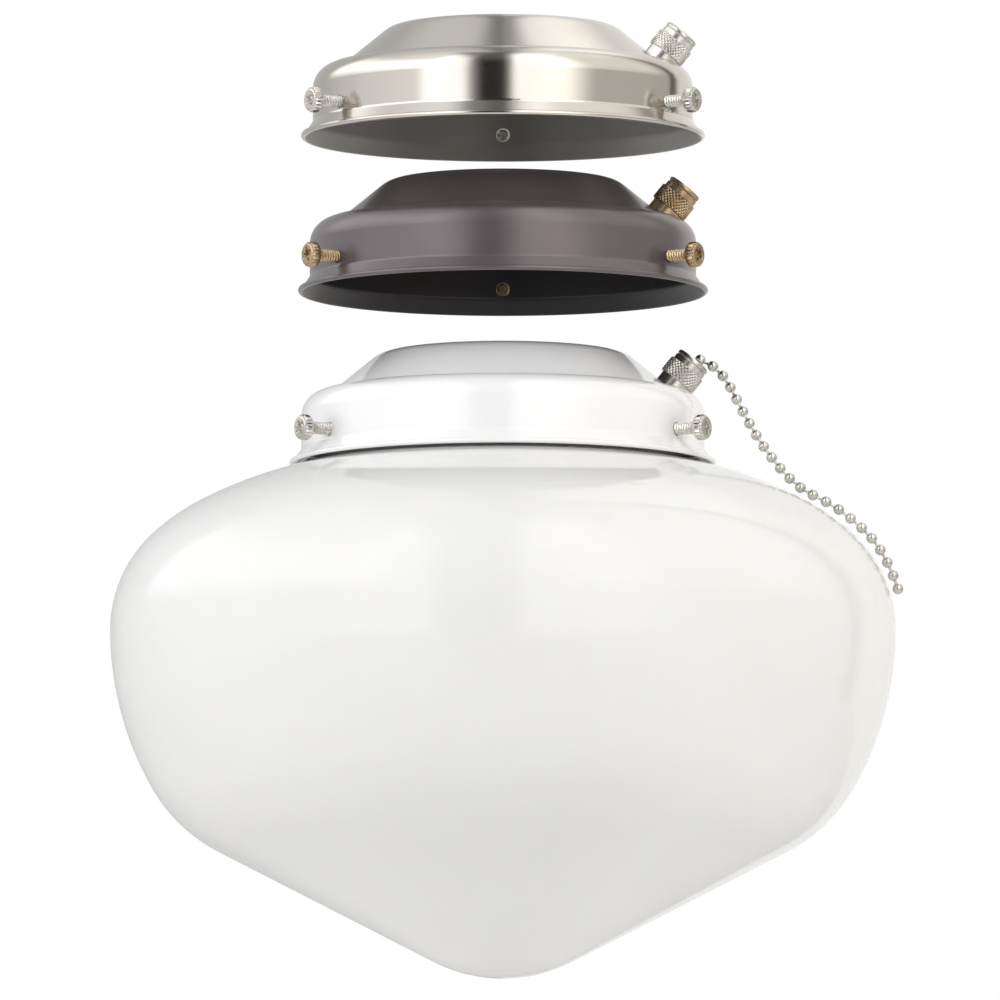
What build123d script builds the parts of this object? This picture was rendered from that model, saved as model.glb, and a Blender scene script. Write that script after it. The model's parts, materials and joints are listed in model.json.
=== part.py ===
from build123d import *
from math import cos, hypot, radians, sin, sqrt
import os

# Ceiling fan light kit: an opal glass shade hung by three thumb screws in a
# pressed steel fitter pan, with a pull chain switch, a lampholder and a lamp
# inside, and two spare fitters in other finishes standing above it.
# Millimetres. +Z is up, the origin is the centre of the pan's top disc, and
# the switch is on +X. The front, where two thumb screws show, is -Y.

# The neck of the glass, and the room that each fitter's skirt leaves around it
neck_radius = 48.6
mounted_skirt_room = 6.8
bronze_skirt_room = 4.5
nickel_skirt_room = 3.7

# Fitter pan, pressed from sheet
sheet = 0.8
pan_height = 30.3
cone_drop = 10.8
cone_run = 13.2
shoulder_width = 8.4
brow_fillet = 8.0
foot_fillet = 1.2
shoulder_fillet = 6.5
lip_height = 3.7
lip_flare = 2.5
lip_fillet = 1.2
rim_bead_radius = 0.75
bronze_top_height = 47.8
nickel_top_height = 90.6

# Threaded nipple and what is clamped on it
nipple_radius = 5.145
nipple_bore_radius = 3.6
nipple_stand = 3.0
nipple_length = 15.0
nipple_chamfer = 0.5
nipple_relief_depth = 0.4
nipple_relief_lift = 0.1
nipple_hole_gap = 0.2
thread_gap = 0.05
washer_radius = 8.5
washer_thickness = 1.0
washer_teeth = 12
washer_notch = 1.1
lock_nut_flats = 14.3
lock_nut_height = 3.0
nut_chamfer = 0.5

# Thumb screws
screw_azimuths = {"left": -149.3, "right": -30.7, "back": 90.0}
screw_depth = 24.0
screw_radius = 1.75
screw_hole_gap = 0.1
screw_stand = 6.6
screw_head_radius = 3.5
screw_head_height = 2.9
screw_head_fillet = 0.8
screw_tip_chamfer = 0.4

# Opal glass shade
glass_wall = 3.0
glass_radius = 107.9
shoulder_drop = 5.2
cove_radius = 9.0
upper_belly_radius = 34.9
upper_belly_sweep = 47.5
lower_belly_radius = 87.6
lower_belly_sweep = 29.6
haunch_radius = 42.7
haunch_sweep = 32.8
tip_radius = 41.6
neck_bead_radius = 1.8
neck_bead_out = 1.6
neck_seat_gap = 0.25

# Pull switch: its axis stands square to the cone, a little above its foot
switch_setback = 1.4
switch_nut_gap = 0.3
bushing_radius = 4.76
bushing_bore_radius = 2.1
bushing_length = 7.2
bushing_spigot_radius = 3.0
bushing_hole_gap = 0.2
switch_nut_flats = 12.7
switch_nut_height = 2.0
knurl_radius = 5.55
knurl_height = 4.7
knurl_lift = 2.8
knurl_chamfer = 0.4
thread_depth = 4.6
cap_radius = 4.9
cap_height = 3.0
mouth_radius = 2.3
mouth_flare = 1.2
mouth_depth = 1.4
cap_groove_depth = 0.3
cap_groove_width = 0.45

# Inside the switch
housing_outer = 4.2
housing_inner = 9.4
housing_half_width = 8.0
housing_length = 17.5
housing_wall = 1.0
housing_corner = 2.0
cover_thickness = 1.2
spigot_gap = 0.1
spindle_radius = 1.0
running_gap = 0.05
rotor_depth = 11.5
drum_radius = 3.4
drum_gap = 0.15
drum_length = 6.0
ratchet_radius = 3.75
ratchet_thickness = 1.2
ratchet_teeth = 8
ratchet_notch = 0.9
ratchet_notch_lean = 30
spring_coil_radius = 1.9
spring_wire_radius = 0.3
spring_turns = 3
spring_pitch = 0.9
spring_end_gap = 0.4
contact_spacing = 3.4
contact_width = 1.8
contact_thickness = 0.5
contact_foot_length = 2.8
contact_gap = 0.8

# Ball chain and the stem that it hangs on
ball_radius = 1.5
link_radius = 0.45
first_ball_rise = 1.05
first_ball_shift = 1.26
ball_pitch = 4.06
hidden_ball_count = 3
stem_gap = 0.3
stem_radius = 0.8
stem_length = 16.0
stem_head_radius = 1.4
stem_head_height = 1.0
# Where the chain rests on the glass: quarter turn of the shoulder, ball radii above the
# surface, and glass radii to the front
chain_rest_shares = [
    (0.209, 3.30, 0.1158),
    (0.286, 1.51, 0.1344),
    (0.368, 1.57, 0.1372),
    (0.449, 1.71, 0.1251),
    (0.561, 1.78, 0.1066),
    (0.684, 1.60, 0.0834),
    (0.814, 1.49, 0.0556),
]
# How it falls from the switch to its first rest: outwards, to the front and down
chain_fall_shares = [
    (0.278, 0.176, 0.147),
    (0.447, 0.376, 0.364),
    (0.610, 0.584, 0.589),
    (0.792, 0.800, 0.804),
]

# Lampholder
holder_top_gap = 0.3
holder_hub_radius = 8.0
holder_hub_height = 5.0
holder_cap_radius = 17.0
holder_cap_wall = 1.0
holder_cap_height = 10.2
holder_cap_fillet = 3.0
cap_slot_width = 8.0
cap_slot_height = 3.4
holder_radius = 18.0
holder_height = 26.0
holder_roof = 3.0
holder_spigot_height = 3.0
holder_spigot_gap = 0.3
holder_fillet = 1.2
holder_groove_width = 1.6
holder_groove_depth = 0.8
holder_groove_count = 3
holder_groove_pitch = 4.0
shell_wall = 0.4
shell_gap = 0.1
shell_height = 21.0
leaf_radius = 4.5
leaf_height = 2.2
leaf_chamfer = 0.8
terminal_radius = 2.8
terminal_height = 1.6
terminal_offset = 9.0
terminal_slot_width = 0.7
terminal_slot_depth = 0.6

# Lamp
lamp_base_radius = 13.0
lamp_base_gap = 0.2
lamp_contact_gap = 0.3
button_radius = 4.8
button_height = 1.2
button_taper = 30
insulator_height = 2.0
insulator_radius = 11.5
insulator_taper = 45
lamp_shell_height = 18.0
lamp_thread_pitch = 3.6
lamp_thread_count = 4
lamp_thread_groove = 1.1
lamp_thread_depth = 0.5
collar_top_radius = 14.2
collar_foot_radius = 24.0
collar_height = 35.0
collar_wall = 1.5
# Headings of the flare at its top and at its foot
collar_headings = ((0, -1), (1, -2))
globe_radius = 30.0
globe_wall = 1.0
board_radius = 21.3
board_thickness = 1.5
diode_size = 2.8
diode_height = 0.7
diode_circle_radius = 13.0
diode_count = 10

# Leads
lead_radius = 0.9
lead_gap = 0.3
lead_side = 1.35
lead_top = 2.5
lead_bend = 2.5
lead_turn = 12.0
lead_fall_run = 7.3
lead_rise_above_floor = 1.7
lead_start = 6.4

# One overrun for every cut
overrun = 4.0


# Skirts, each as wide as its room around the neck asks
mounted_skirt_radius = neck_radius + mounted_skirt_room
bronze_skirt_radius = neck_radius + bronze_skirt_room
nickel_skirt_radius = neck_radius + nickel_skirt_room

# Depths below the cone's outer face: the nut's seat and the switch's housing
switch_nut_depth = sheet + switch_nut_gap
housing_top_depth = switch_nut_depth + switch_nut_height


# Frames of the fitter: the foot of the cone and the switch's axis

cone_slope = hypot(cone_run, cone_drop)
down_slope = Vector(cone_run / cone_slope, 0, -cone_drop / cone_slope)
cone_normal = Vector(cone_drop / cone_slope, 0, cone_run / cone_slope)


def switch_point(skirt_radius, top_height):
    """Where the switch's axis crosses the outer face of the cone."""
    foot = Vector(skirt_radius - shoulder_width, 0, top_height - cone_drop)
    return foot - down_slope * switch_setback


def switch_section(skirt_radius, top_height, side=0):
    """Plane of the switch's axis: X down the slope, Y along the axis outwards."""
    point = switch_point(skirt_radius, top_height) + Vector(0, side, 0)
    return Plane(origin=point, x_dir=down_slope, z_dir=(0, -1, 0))


def switch_level(skirt_radius, top_height, rise):
    """Plane square to the switch's axis, at a height above the cone's face."""
    point = switch_point(skirt_radius, top_height) + cone_normal * rise
    return Plane(origin=point, x_dir=down_slope, z_dir=cone_normal)


def switch_axis(skirt_radius, top_height):
    return Axis(switch_point(skirt_radius, top_height), cone_normal)


def screw_level(reach, azimuth, top_height):
    """Plane square to a thumb screw, at a distance from the fitter's axis."""
    outward = Vector(cos(radians(azimuth)), sin(radians(azimuth)), 0)
    origin = outward * reach + Vector(0, 0, top_height - screw_depth)
    return Plane(origin=origin, x_dir=(0, 0, 1), z_dir=outward)


def finish(builder, label):
    builder.part.label = label
    export_step(builder.part, f"parts/{label}.step")
    return builder.part


# Pieces that each of the three fitters has

def fitter_pan(label, skirt_radius, top_height):
    """The pressed pan: a top disc, a cone, a round shoulder, a skirt and a flared lip."""
    foot_radius = skirt_radius - shoulder_width
    lip_depth = pan_height - lip_height
    lip_end = (skirt_radius + lip_flare, top_height - pan_height)
    with BuildPart() as pan:
        with BuildSketch(Plane.XZ):
            with BuildLine():
                FilletPolyline(
                    (nipple_radius + nipple_hole_gap, top_height),
                    (foot_radius - cone_run, top_height),
                    (foot_radius, top_height - cone_drop),
                    (skirt_radius, top_height - cone_drop),
                    (skirt_radius, top_height - lip_depth),
                    lip_end,
                    radius=[brow_fillet, foot_fillet, shoulder_fillet, lip_fillet],
                )
                offset(amount=sheet, side=Side.RIGHT)
            make_face()
            with Locations(lip_end):
                Circle(rim_bead_radius)
        revolve(axis=Axis.Z)
        for azimuth in screw_azimuths.values():
            with BuildSketch(screw_level(skirt_radius, azimuth, top_height)):
                Circle(screw_radius + screw_hole_gap)
            extrude(amount=overrun, both=True, mode=Mode.SUBTRACT)
        with BuildSketch(switch_level(skirt_radius, top_height, 0)):
            Circle(bushing_radius + bushing_hole_gap)
        extrude(amount=overrun, both=True, mode=Mode.SUBTRACT)
    return finish(pan, label)


def thumb_screw(label, skirt_radius, azimuth, top_height, tip):
    """A round-headed screw whose tip stands at a distance from the fitter's axis."""
    head_seat = skirt_radius + screw_stand
    with BuildPart() as screw:
        with BuildSketch(screw_level(tip, azimuth, top_height)):
            Circle(screw_radius)
        extrude(amount=head_seat - tip)
        tip_edge = screw.faces().sort_by(Axis((0, 0, 0), screw_outward(azimuth)))[0].edges()
        chamfer(tip_edge, length=screw_tip_chamfer)
        with BuildSketch(screw_level(head_seat, azimuth, top_height)):
            Circle(screw_head_radius)
        extrude(amount=screw_head_height)
        crown = screw.faces().sort_by(Axis((0, 0, 0), screw_outward(azimuth)))[-1]
        fillet(crown.edges(), radius=screw_head_fillet)
    return finish(screw, label)


def screw_outward(azimuth):
    return (cos(radians(azimuth)), sin(radians(azimuth)), 0)


def switch_bushing(label, skirt_radius, top_height):
    """The threaded bushing, which passes the cone and carries the two nuts."""
    with BuildPart() as bushing:
        with BuildSketch(switch_section(skirt_radius, top_height)):
            with BuildLine():
                Polyline(
                    (bushing_bore_radius, -housing_top_depth - housing_wall),
                    (bushing_spigot_radius, -housing_top_depth - housing_wall),
                    (bushing_spigot_radius, -housing_top_depth),
                    (bushing_radius, -housing_top_depth),
                    (bushing_radius, bushing_length - nut_chamfer),
                    (bushing_radius - nut_chamfer, bushing_length),
                    (bushing_bore_radius, bushing_length),
                    close=True,
                )
            make_face()
        revolve(axis=switch_axis(skirt_radius, top_height))
    return finish(bushing, label)


def switch_nut(label, skirt_radius, top_height):
    """The hexagon nut that grips the sheet from inside."""
    with BuildPart() as nut:
        with BuildSketch(switch_level(skirt_radius, top_height, -housing_top_depth)):
            RegularPolygon(switch_nut_flats / 2, 6, major_radius=False)
            Circle(bushing_radius + thread_gap, mode=Mode.SUBTRACT)
        extrude(amount=switch_nut_height)
    return finish(nut, label)


def knurled_cap(label, skirt_radius, top_height):
    """The knurled nut with its smooth cap and the flared mouth for the chain."""
    knurl_top = knurl_lift + knurl_height
    face = knurl_top + cap_height
    thread_end = knurl_lift + thread_depth
    groove_low = knurl_top + cap_height / 2
    section = switch_section(skirt_radius, top_height)
    axis = switch_axis(skirt_radius, top_height)
    with BuildPart() as cap:
        with BuildSketch(section):
            with BuildLine():
                Polyline(
                    (bushing_radius + thread_gap, knurl_lift),
                    (knurl_radius - knurl_chamfer, knurl_lift),
                    (knurl_radius, knurl_lift + knurl_chamfer),
                    (knurl_radius, knurl_top - knurl_chamfer),
                    (knurl_radius - knurl_chamfer, knurl_top),
                    (cap_radius, knurl_top),
                    (cap_radius, groove_low),
                    (cap_radius - cap_groove_depth, groove_low),
                    (cap_radius - cap_groove_depth, groove_low + cap_groove_width),
                    (cap_radius, groove_low + cap_groove_width),
                    (cap_radius, face - knurl_chamfer),
                    (cap_radius - knurl_chamfer, face),
                    (mouth_radius + mouth_flare, face),
                    (mouth_radius, face - mouth_depth),
                    (mouth_radius, thread_end),
                    (bushing_radius + thread_gap, thread_end),
                    close=True,
                )
            make_face()
        revolve(axis=axis)
    return finish(cap, label)


def make_fitter(prefix, skirt_radius, top_height, tip):
    """One fitter in one finish, with its screws and its switch hardware."""
    fitter_pan(prefix + "fitter_pan", skirt_radius, top_height)
    for place, azimuth in screw_azimuths.items():
        thumb_screw(f"{prefix}thumb_screw_{place}", skirt_radius, azimuth, top_height, tip)
    switch_bushing(prefix + "switch_bushing", skirt_radius, top_height)
    switch_nut(prefix + "switch_nut", skirt_radius, top_height)
    knurled_cap(prefix + "knurled_cap", skirt_radius, top_height)


# The glass shade

def flank_length():
    """The straight run between the haunch and the tip that closes the outline on the axis."""
    belly_heading = radians(lower_belly_sweep)
    flank_heading = radians(lower_belly_sweep + haunch_sweep)
    belly_in = lower_belly_radius * (1 - cos(belly_heading))
    haunch_in = haunch_radius * (cos(belly_heading) - cos(flank_heading))
    tip_in = tip_radius * cos(flank_heading)
    return (glass_radius - belly_in - haunch_in - tip_in) / sin(flank_heading)


bead_foot = -screw_depth + screw_radius + neck_seat_gap
bead_top = bead_foot + 2 * neck_bead_radius

# The shoulder: its dome runs level where the cove starts, and meets the belly in a tangent
shoulder_top = -pan_height - shoulder_drop
dome_top_radius = neck_radius + cove_radius
belly_centre_radius = glass_radius - upper_belly_radius
belly_end_radius = belly_centre_radius + upper_belly_radius * cos(radians(upper_belly_sweep))
dome_radius = (belly_end_radius - dome_top_radius) / cos(radians(upper_belly_sweep))
dome_centre_height = shoulder_top - dome_radius
widest_height = dome_centre_height + (dome_radius - upper_belly_radius) * sin(radians(upper_belly_sweep))


def shoulder_place(heading, lift, side):
    """A point over the shoulder: degrees from the dome's top, height over the glass, side."""
    on_dome = heading < 90 - upper_belly_sweep
    radius, centre_radius, centre_height = (
        (dome_radius, dome_top_radius, dome_centre_height)
        if on_dome
        else (upper_belly_radius, belly_centre_radius, widest_height)
    )
    reach = centre_radius + (radius + lift) * sin(radians(heading))
    height = centre_height + (radius + lift) * cos(radians(heading))
    return Vector(sqrt(reach ** 2 - side ** 2), -side, height)


def glass_shade():
    """A blown shade: tangent arcs from the neck over the belly to the pointed tip."""
    tip_sweep = 90 - lower_belly_sweep - haunch_sweep
    widest = (glass_radius, widest_height)
    with BuildPart() as shade:
        with BuildSketch(Plane.XZ):
            with BuildLine():
                low_belly = JernArc(widest, (0, -1), lower_belly_radius, -lower_belly_sweep)
                haunch = JernArc(low_belly @ 1, low_belly % 1, haunch_radius, -haunch_sweep)
                flank = Line(haunch @ 1, haunch @ 1 + (haunch % 1) * flank_length())
                JernArc(flank @ 1, flank % 1, tip_radius, -tip_sweep)
                high_belly = JernArc(widest, (0, 1), upper_belly_radius, upper_belly_sweep)
                dome_sweep = 90 - upper_belly_sweep
                dome = JernArc(high_belly @ 1, high_belly % 1, dome_radius, dome_sweep)
                cove = JernArc(dome @ 1, dome % 1, cove_radius, -90)
                Line(cove @ 1, (neck_radius, bead_top))
                offset(amount=-glass_wall, side=Side.RIGHT)
            make_face()
            with BuildLine():
                bead = ThreePointArc(
                    (neck_radius, bead_foot),
                    (neck_radius + neck_bead_out, bead_foot + neck_bead_radius),
                    (neck_radius, bead_top),
                )
                Line(bead @ 1, bead @ 0)
            make_face()
        revolve(axis=Axis.Z)
    return finish(shade, "glass_shade")


# The switch of the mounted fitter, in the section plane of its axis

mounted = (mounted_skirt_radius, 0)
rotor_offset = stem_radius + drum_gap + drum_radius
rotor_place = (-rotor_offset, -rotor_depth)
housing_floor = housing_top_depth + housing_length - housing_wall
housing_width = housing_outer + housing_inner
housing_middle = (
    (housing_outer - housing_inner) / 2,
    -housing_top_depth - housing_length / 2,
)
lead_depth = housing_floor - lead_rise_above_floor


def switch_world(down, rise, side):
    """A point of the mounted switch: down the slope, along the axis, and sideways."""
    place = switch_point(*mounted) + down_slope * down + cone_normal * rise
    return (place.X, side, place.Z)


def switch_housing():
    """A moulded box around the mechanism, open on the side that the cover closes."""
    open_side = housing_half_width - cover_thickness
    depth = open_side + housing_half_width
    with BuildPart() as housing:
        with BuildSketch(switch_section(*mounted, open_side)):
            with Locations(housing_middle):
                RectangleRounded(housing_width, housing_length, housing_corner)
        extrude(amount=depth)
        with BuildSketch(switch_section(*mounted, open_side)):
            with Locations(housing_middle):
                RectangleRounded(
                    housing_width - 2 * housing_wall,
                    housing_length - 2 * housing_wall,
                    housing_corner - housing_wall,
                )
        extrude(amount=depth - housing_wall, mode=Mode.SUBTRACT)
        with BuildSketch(switch_level(*mounted, -housing_top_depth)):
            Circle(bushing_spigot_radius + spigot_gap)
        extrude(amount=-housing_wall, mode=Mode.SUBTRACT)
        with BuildSketch(switch_section(*mounted)):
            with Locations(rotor_place):
                Circle(spindle_radius + running_gap)
        extrude(amount=housing_half_width, mode=Mode.SUBTRACT)
        with BuildSketch(switch_wall()):
            with Locations((-lead_depth, contact_spacing / 2), (-lead_depth, -contact_spacing / 2)):
                Circle(lead_radius + lead_gap)
        extrude(amount=housing_wall, mode=Mode.SUBTRACT)
    return finish(housing, "switch_housing")


def switch_wall():
    """Plane of the housing's inner wall, where the leads leave: X along the switch's axis."""
    place = switch_point(*mounted) - down_slope * housing_inner
    return Plane(origin=place, x_dir=cone_normal, z_dir=down_slope)


def switch_cover():
    with BuildPart() as cover:
        with BuildSketch(switch_section(*mounted, housing_half_width)):
            with Locations(housing_middle):
                RectangleRounded(housing_width, housing_length, housing_corner)
            with Locations(rotor_place):
                Circle(spindle_radius + running_gap, mode=Mode.SUBTRACT)
        extrude(amount=cover_thickness)
    return finish(cover, "switch_cover")


def switch_spindle():
    with BuildPart() as spindle:
        with BuildSketch(switch_section(*mounted)):
            with Locations(rotor_place):
                Circle(spindle_radius)
        extrude(amount=housing_half_width, both=True)
    return finish(spindle, "switch_spindle")


def switch_rotor():
    """The drum that the stem turns, with a ratchet wheel at one end."""
    with BuildPart() as rotor:
        with BuildSketch(switch_section(*mounted)):
            with Locations(rotor_place):
                Circle(drum_radius)
        extrude(amount=drum_length / 2, both=True)
        with BuildSketch(switch_section(*mounted, drum_length / 2)):
            with Locations(rotor_place):
                Circle(ratchet_radius)
                with PolarLocations(ratchet_radius, ratchet_teeth):
                    Rectangle(ratchet_notch, ratchet_notch, rotation=ratchet_notch_lean, mode=Mode.SUBTRACT)
        extrude(amount=ratchet_thickness)
        with BuildSketch(switch_section(*mounted)):
            with Locations(rotor_place):
                Circle(spindle_radius + running_gap)
        extrude(amount=drum_length, both=True, mode=Mode.SUBTRACT)
    return finish(rotor, "switch_rotor")


def switch_return_spring():
    """A torsion spring wound around the spindle between the drum and the wall."""
    coil_start = drum_length / 2 + spring_end_gap + spring_wire_radius
    centre = Vector(*switch_world(*rotor_place, -coil_start))
    with BuildPart() as spring:
        with BuildLine():
            coil = Helix(
                pitch=spring_pitch,
                height=spring_pitch * spring_turns,
                radius=spring_coil_radius,
                center=centre,
                direction=(0, -1, 0),
            )
        with BuildSketch(Plane(origin=coil @ 0, z_dir=coil % 0)):
            Circle(spring_wire_radius)
        sweep(path=coil, is_frenet=True)
    return finish(spring, "switch_return_spring")


def switch_contacts():
    """Two bent contact blades on the floor of the housing, under the drum."""
    blade_top = -rotor_depth - drum_radius - contact_gap
    with BuildPart() as contacts:
        for side in (contact_spacing / 2, -contact_spacing / 2):
            with BuildSketch(switch_section(*mounted, side)):
                with BuildLine():
                    Polyline(
                        (-rotor_offset, blade_top),
                        (-rotor_offset, -housing_floor),
                        (-rotor_offset - contact_foot_length, -housing_floor),
                        (-rotor_offset - contact_foot_length, contact_thickness - housing_floor),
                        (-rotor_offset - contact_thickness, contact_thickness - housing_floor),
                        (-rotor_offset - contact_thickness, blade_top),
                        close=True,
                    )
                make_face()
            extrude(amount=contact_width / 2, both=True)
    return finish(contacts, "switch_contacts")


# The pull: a stem inside the switch and the ball chain that hangs from it

knurl_face = knurl_lift + knurl_height + cap_height


def chain_balls():
    """Centres of all balls from the deepest to the free end, and the deepest one's level."""
    first = Vector(*switch_world(first_ball_shift, knurl_face + first_ball_rise, 0))
    rests = [
        shoulder_place(90 * turn, ball_radius * lift, glass_radius * side)
        for turn, lift, side in chain_rest_shares
    ]
    way = rests[0] - first
    falls = [
        first + Vector(way.X * out, way.Y * side, way.Z * down)
        for out, side, down in chain_fall_shares
    ]
    route = Spline(first, *falls, *rests, mode=Mode.PRIVATE)
    link_count = round(route.length / ball_pitch)
    pitch = route.length / link_count
    hanging = [route @ (index / link_count) for index in range(link_count + 1)]
    entry = knurl_face + first_ball_rise - sqrt(pitch ** 2 - first_ball_shift ** 2)
    levels = [entry - pitch * index for index in reversed(range(hidden_ball_count))]
    hidden = [Vector(*switch_world(0, level, 0)) for level in levels]
    return hidden + hanging, levels[0]


def pull_chain():
    """One run of hollow balls joined by short wire links."""
    balls = chain_balls()[0]
    with BuildPart() as chain:
        for here, beyond in zip(balls, balls[1:]):
            with BuildSketch(Plane(origin=here, z_dir=beyond - here)):
                Circle(link_radius)
            extrude(amount=(beyond - here).length)
        for here, beyond in zip(balls, balls[1:] + [2 * balls[-1] - balls[-2]]):
            with Locations(ball_frame(here, beyond)):
                Sphere(ball_radius)
    return finish(chain, "pull_chain")


def ball_frame(here, beyond):
    """Frame of a ball with its seam and poles clear of the links."""
    heading = (beyond - here).normalized()
    sideways = heading.cross(Vector(0, 1, 0)).normalized()
    return Plane(origin=here, x_dir=sideways.cross(heading), z_dir=sideways)


def pull_stem():
    """The rigid stem that the chain draws past the drum."""
    deepest = chain_balls()[1]
    top = deepest - ball_radius - stem_gap
    with BuildPart() as stem:
        with BuildSketch(switch_level(*mounted, top)):
            Circle(stem_head_radius)
        extrude(amount=-stem_head_height)
        with BuildSketch(switch_level(*mounted, top)):
            Circle(stem_radius)
        extrude(amount=-stem_length)
    return finish(stem, "pull_stem")


# The central stack: nipple, washer, nut and lampholder

nipple_end = nipple_stand - nipple_length
washer_top = -sheet
lock_nut_top = washer_top - washer_thickness
hub_top = lock_nut_top - lock_nut_height - holder_top_gap
cap_roof = hub_top - holder_hub_height
cap_foot = cap_roof - holder_cap_height
spigot_top = cap_foot + holder_spigot_height
holder_roof_end = cap_foot - holder_roof
holder_foot = cap_foot - holder_height
shell_radius = lamp_base_radius + lamp_base_gap + shell_wall
terminal_top = spigot_top + terminal_height
lead_level = terminal_top + lead_gap + lead_radius


def threaded_nipple():
    """A threaded tube, relieved where it passes the sheet, so its free end seats square."""
    relief_radius = nipple_radius - nipple_relief_depth
    with BuildPart() as nipple:
        with BuildSketch(Plane.XZ):
            with BuildLine():
                Polyline(
                    (nipple_bore_radius, nipple_stand),
                    (nipple_radius - nipple_chamfer, nipple_stand),
                    (nipple_radius, nipple_stand - nipple_chamfer),
                    (nipple_radius, nipple_relief_lift),
                    (relief_radius, nipple_relief_lift),
                    (relief_radius, -sheet),
                    (nipple_radius, -sheet),
                    (nipple_radius, nipple_end + nipple_chamfer),
                    (nipple_radius - nipple_chamfer, nipple_end),
                    (nipple_bore_radius, nipple_end),
                    close=True,
                )
            make_face()
        revolve(axis=Axis.Z)
    return finish(nipple, "threaded_nipple")


def lock_washer():
    """An external-tooth washer that bites into the sheet."""
    with BuildPart() as washer:
        with BuildSketch(Plane.XY.offset(washer_top)):
            Circle(washer_radius)
            Circle(nipple_radius + thread_gap, mode=Mode.SUBTRACT)
            with PolarLocations(washer_radius, washer_teeth):
                Rectangle(washer_notch * 2, washer_notch, mode=Mode.SUBTRACT)
        extrude(amount=-washer_thickness)
    return finish(washer, "lock_washer")


def hex_lock_nut():
    with BuildPart() as nut:
        with BuildSketch(Plane.XY.offset(lock_nut_top)):
            RegularPolygon(lock_nut_flats / 2, 6, major_radius=False)
            Circle(nipple_radius + thread_gap, mode=Mode.SUBTRACT)
        extrude(amount=-lock_nut_height)
    return finish(nut, "hex_lock_nut")


def lampholder_cap():
    """A turned hub on a deep-drawn cup, with a slot for the leads of the switch."""
    with BuildPart() as cap:
        with BuildSketch(Plane.XZ):
            with BuildLine():
                FilletPolyline(
                    (nipple_radius + thread_gap, hub_top),
                    (holder_hub_radius, hub_top),
                    (holder_hub_radius, cap_roof),
                    (holder_cap_radius, cap_roof),
                    (holder_cap_radius, cap_foot),
                    radius=[nut_chamfer, nut_chamfer, holder_cap_fillet],
                )
                Polyline(
                    (holder_cap_radius, cap_foot),
                    (holder_cap_radius - holder_cap_wall, cap_foot),
                    (holder_cap_radius - holder_cap_wall, cap_roof - holder_cap_fillet),
                )
                JernArc(
                    (holder_cap_radius - holder_cap_wall, cap_roof - holder_cap_fillet),
                    (0, 1),
                    holder_cap_fillet - holder_cap_wall,
                    90,
                )
                Polyline(
                    (holder_cap_radius - holder_cap_fillet, cap_roof - holder_cap_wall),
                    (nipple_radius + thread_gap, cap_roof - holder_cap_wall),
                    (nipple_radius + thread_gap, hub_top),
                )
            make_face()
        revolve(axis=Axis.Z)
        with BuildSketch(Plane.YZ.offset(holder_cap_radius)):
            with Locations((0, lead_level)):
                SlotOverall(cap_slot_width, cap_slot_height)
        extrude(amount=overrun, both=True, mode=Mode.SUBTRACT)
    return finish(cap, "lampholder_cap")


def lampholder_body():
    """A moulded barrel with a spigot inside the cap and grip grooves around it."""
    spigot_radius = holder_cap_radius - holder_cap_wall - holder_spigot_gap
    bore_radius = shell_radius + shell_gap
    with BuildPart() as body:
        with BuildSketch(Plane.XZ):
            with BuildLine():
                Polyline(
                    (0, spigot_top),
                    (spigot_radius, spigot_top),
                    (spigot_radius, cap_foot),
                    (holder_radius, cap_foot),
                    (holder_radius, holder_foot),
                    (bore_radius, holder_foot),
                    (bore_radius, holder_roof_end),
                    (0, holder_roof_end),
                    close=True,
                )
            make_face()
            with GridLocations(holder_groove_pitch, holder_groove_pitch, 1, holder_groove_count):
                with Locations((holder_radius, (cap_foot + holder_foot) / 2)):
                    Rectangle(holder_groove_depth * 2, holder_groove_width, mode=Mode.SUBTRACT)
        revolve(axis=Axis.Z)
        rims = body.edges().filter_by(GeomType.CIRCLE).filter_by(barrel_rim)
        fillet(rims, radius=holder_fillet)
    return finish(body, "lampholder_body")


def barrel_rim(edge):
    at_end = min(abs(edge.center().Z - cap_foot), abs(edge.center().Z - holder_foot))
    return edge.radius > holder_radius - thread_gap and at_end < thread_gap


def lampholder_screw_shell():
    """The threaded metal shell, seated against the roof of the barrel."""
    with BuildPart() as shell:
        with BuildSketch(Plane.XY.offset(holder_roof_end)):
            Circle(shell_radius)
        extrude(amount=-shell_height)
        with BuildSketch(Plane.XY.offset(holder_roof_end - shell_wall)):
            Circle(shell_radius - shell_wall)
        extrude(amount=-shell_height, mode=Mode.SUBTRACT)
        with BuildSketch(Plane.XY.offset(holder_roof_end)):
            Circle(leaf_radius + lead_gap)
        extrude(amount=-shell_wall, mode=Mode.SUBTRACT)
    return finish(shell, "lampholder_screw_shell")


def lampholder_centre_contact():
    with BuildPart() as leaf:
        with BuildSketch(Plane.XY.offset(holder_roof_end)):
            Circle(leaf_radius)
        extrude(amount=-leaf_height)
        chamfer(leaf.faces().sort_by(Axis.Z)[0].edges(), length=leaf_chamfer)
    return finish(leaf, "lampholder_centre_contact")


def terminal_screws():
    with BuildPart() as screws:
        with BuildSketch(Plane.XY.offset(spigot_top)):
            with Locations((0, terminal_offset), (0, -terminal_offset)):
                Circle(terminal_radius)
        extrude(amount=terminal_height)
        with BuildSketch(Plane.XY.offset(terminal_top)):
            with Locations((0, terminal_offset), (0, -terminal_offset)):
                Rectangle(terminal_radius * 2, terminal_slot_width)
        extrude(amount=-terminal_slot_depth, mode=Mode.SUBTRACT)
    return finish(screws, "terminal_screws")


# The lamp, screwed into the lampholder

button_top = holder_roof_end - leaf_height - lamp_contact_gap
insulator_top = button_top - button_height
lamp_shell_top = insulator_top - insulator_height
collar_top = lamp_shell_top - lamp_shell_height
collar_foot = collar_top - collar_height
globe_centre = collar_foot - sqrt(globe_radius ** 2 - collar_foot_radius ** 2)


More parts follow.
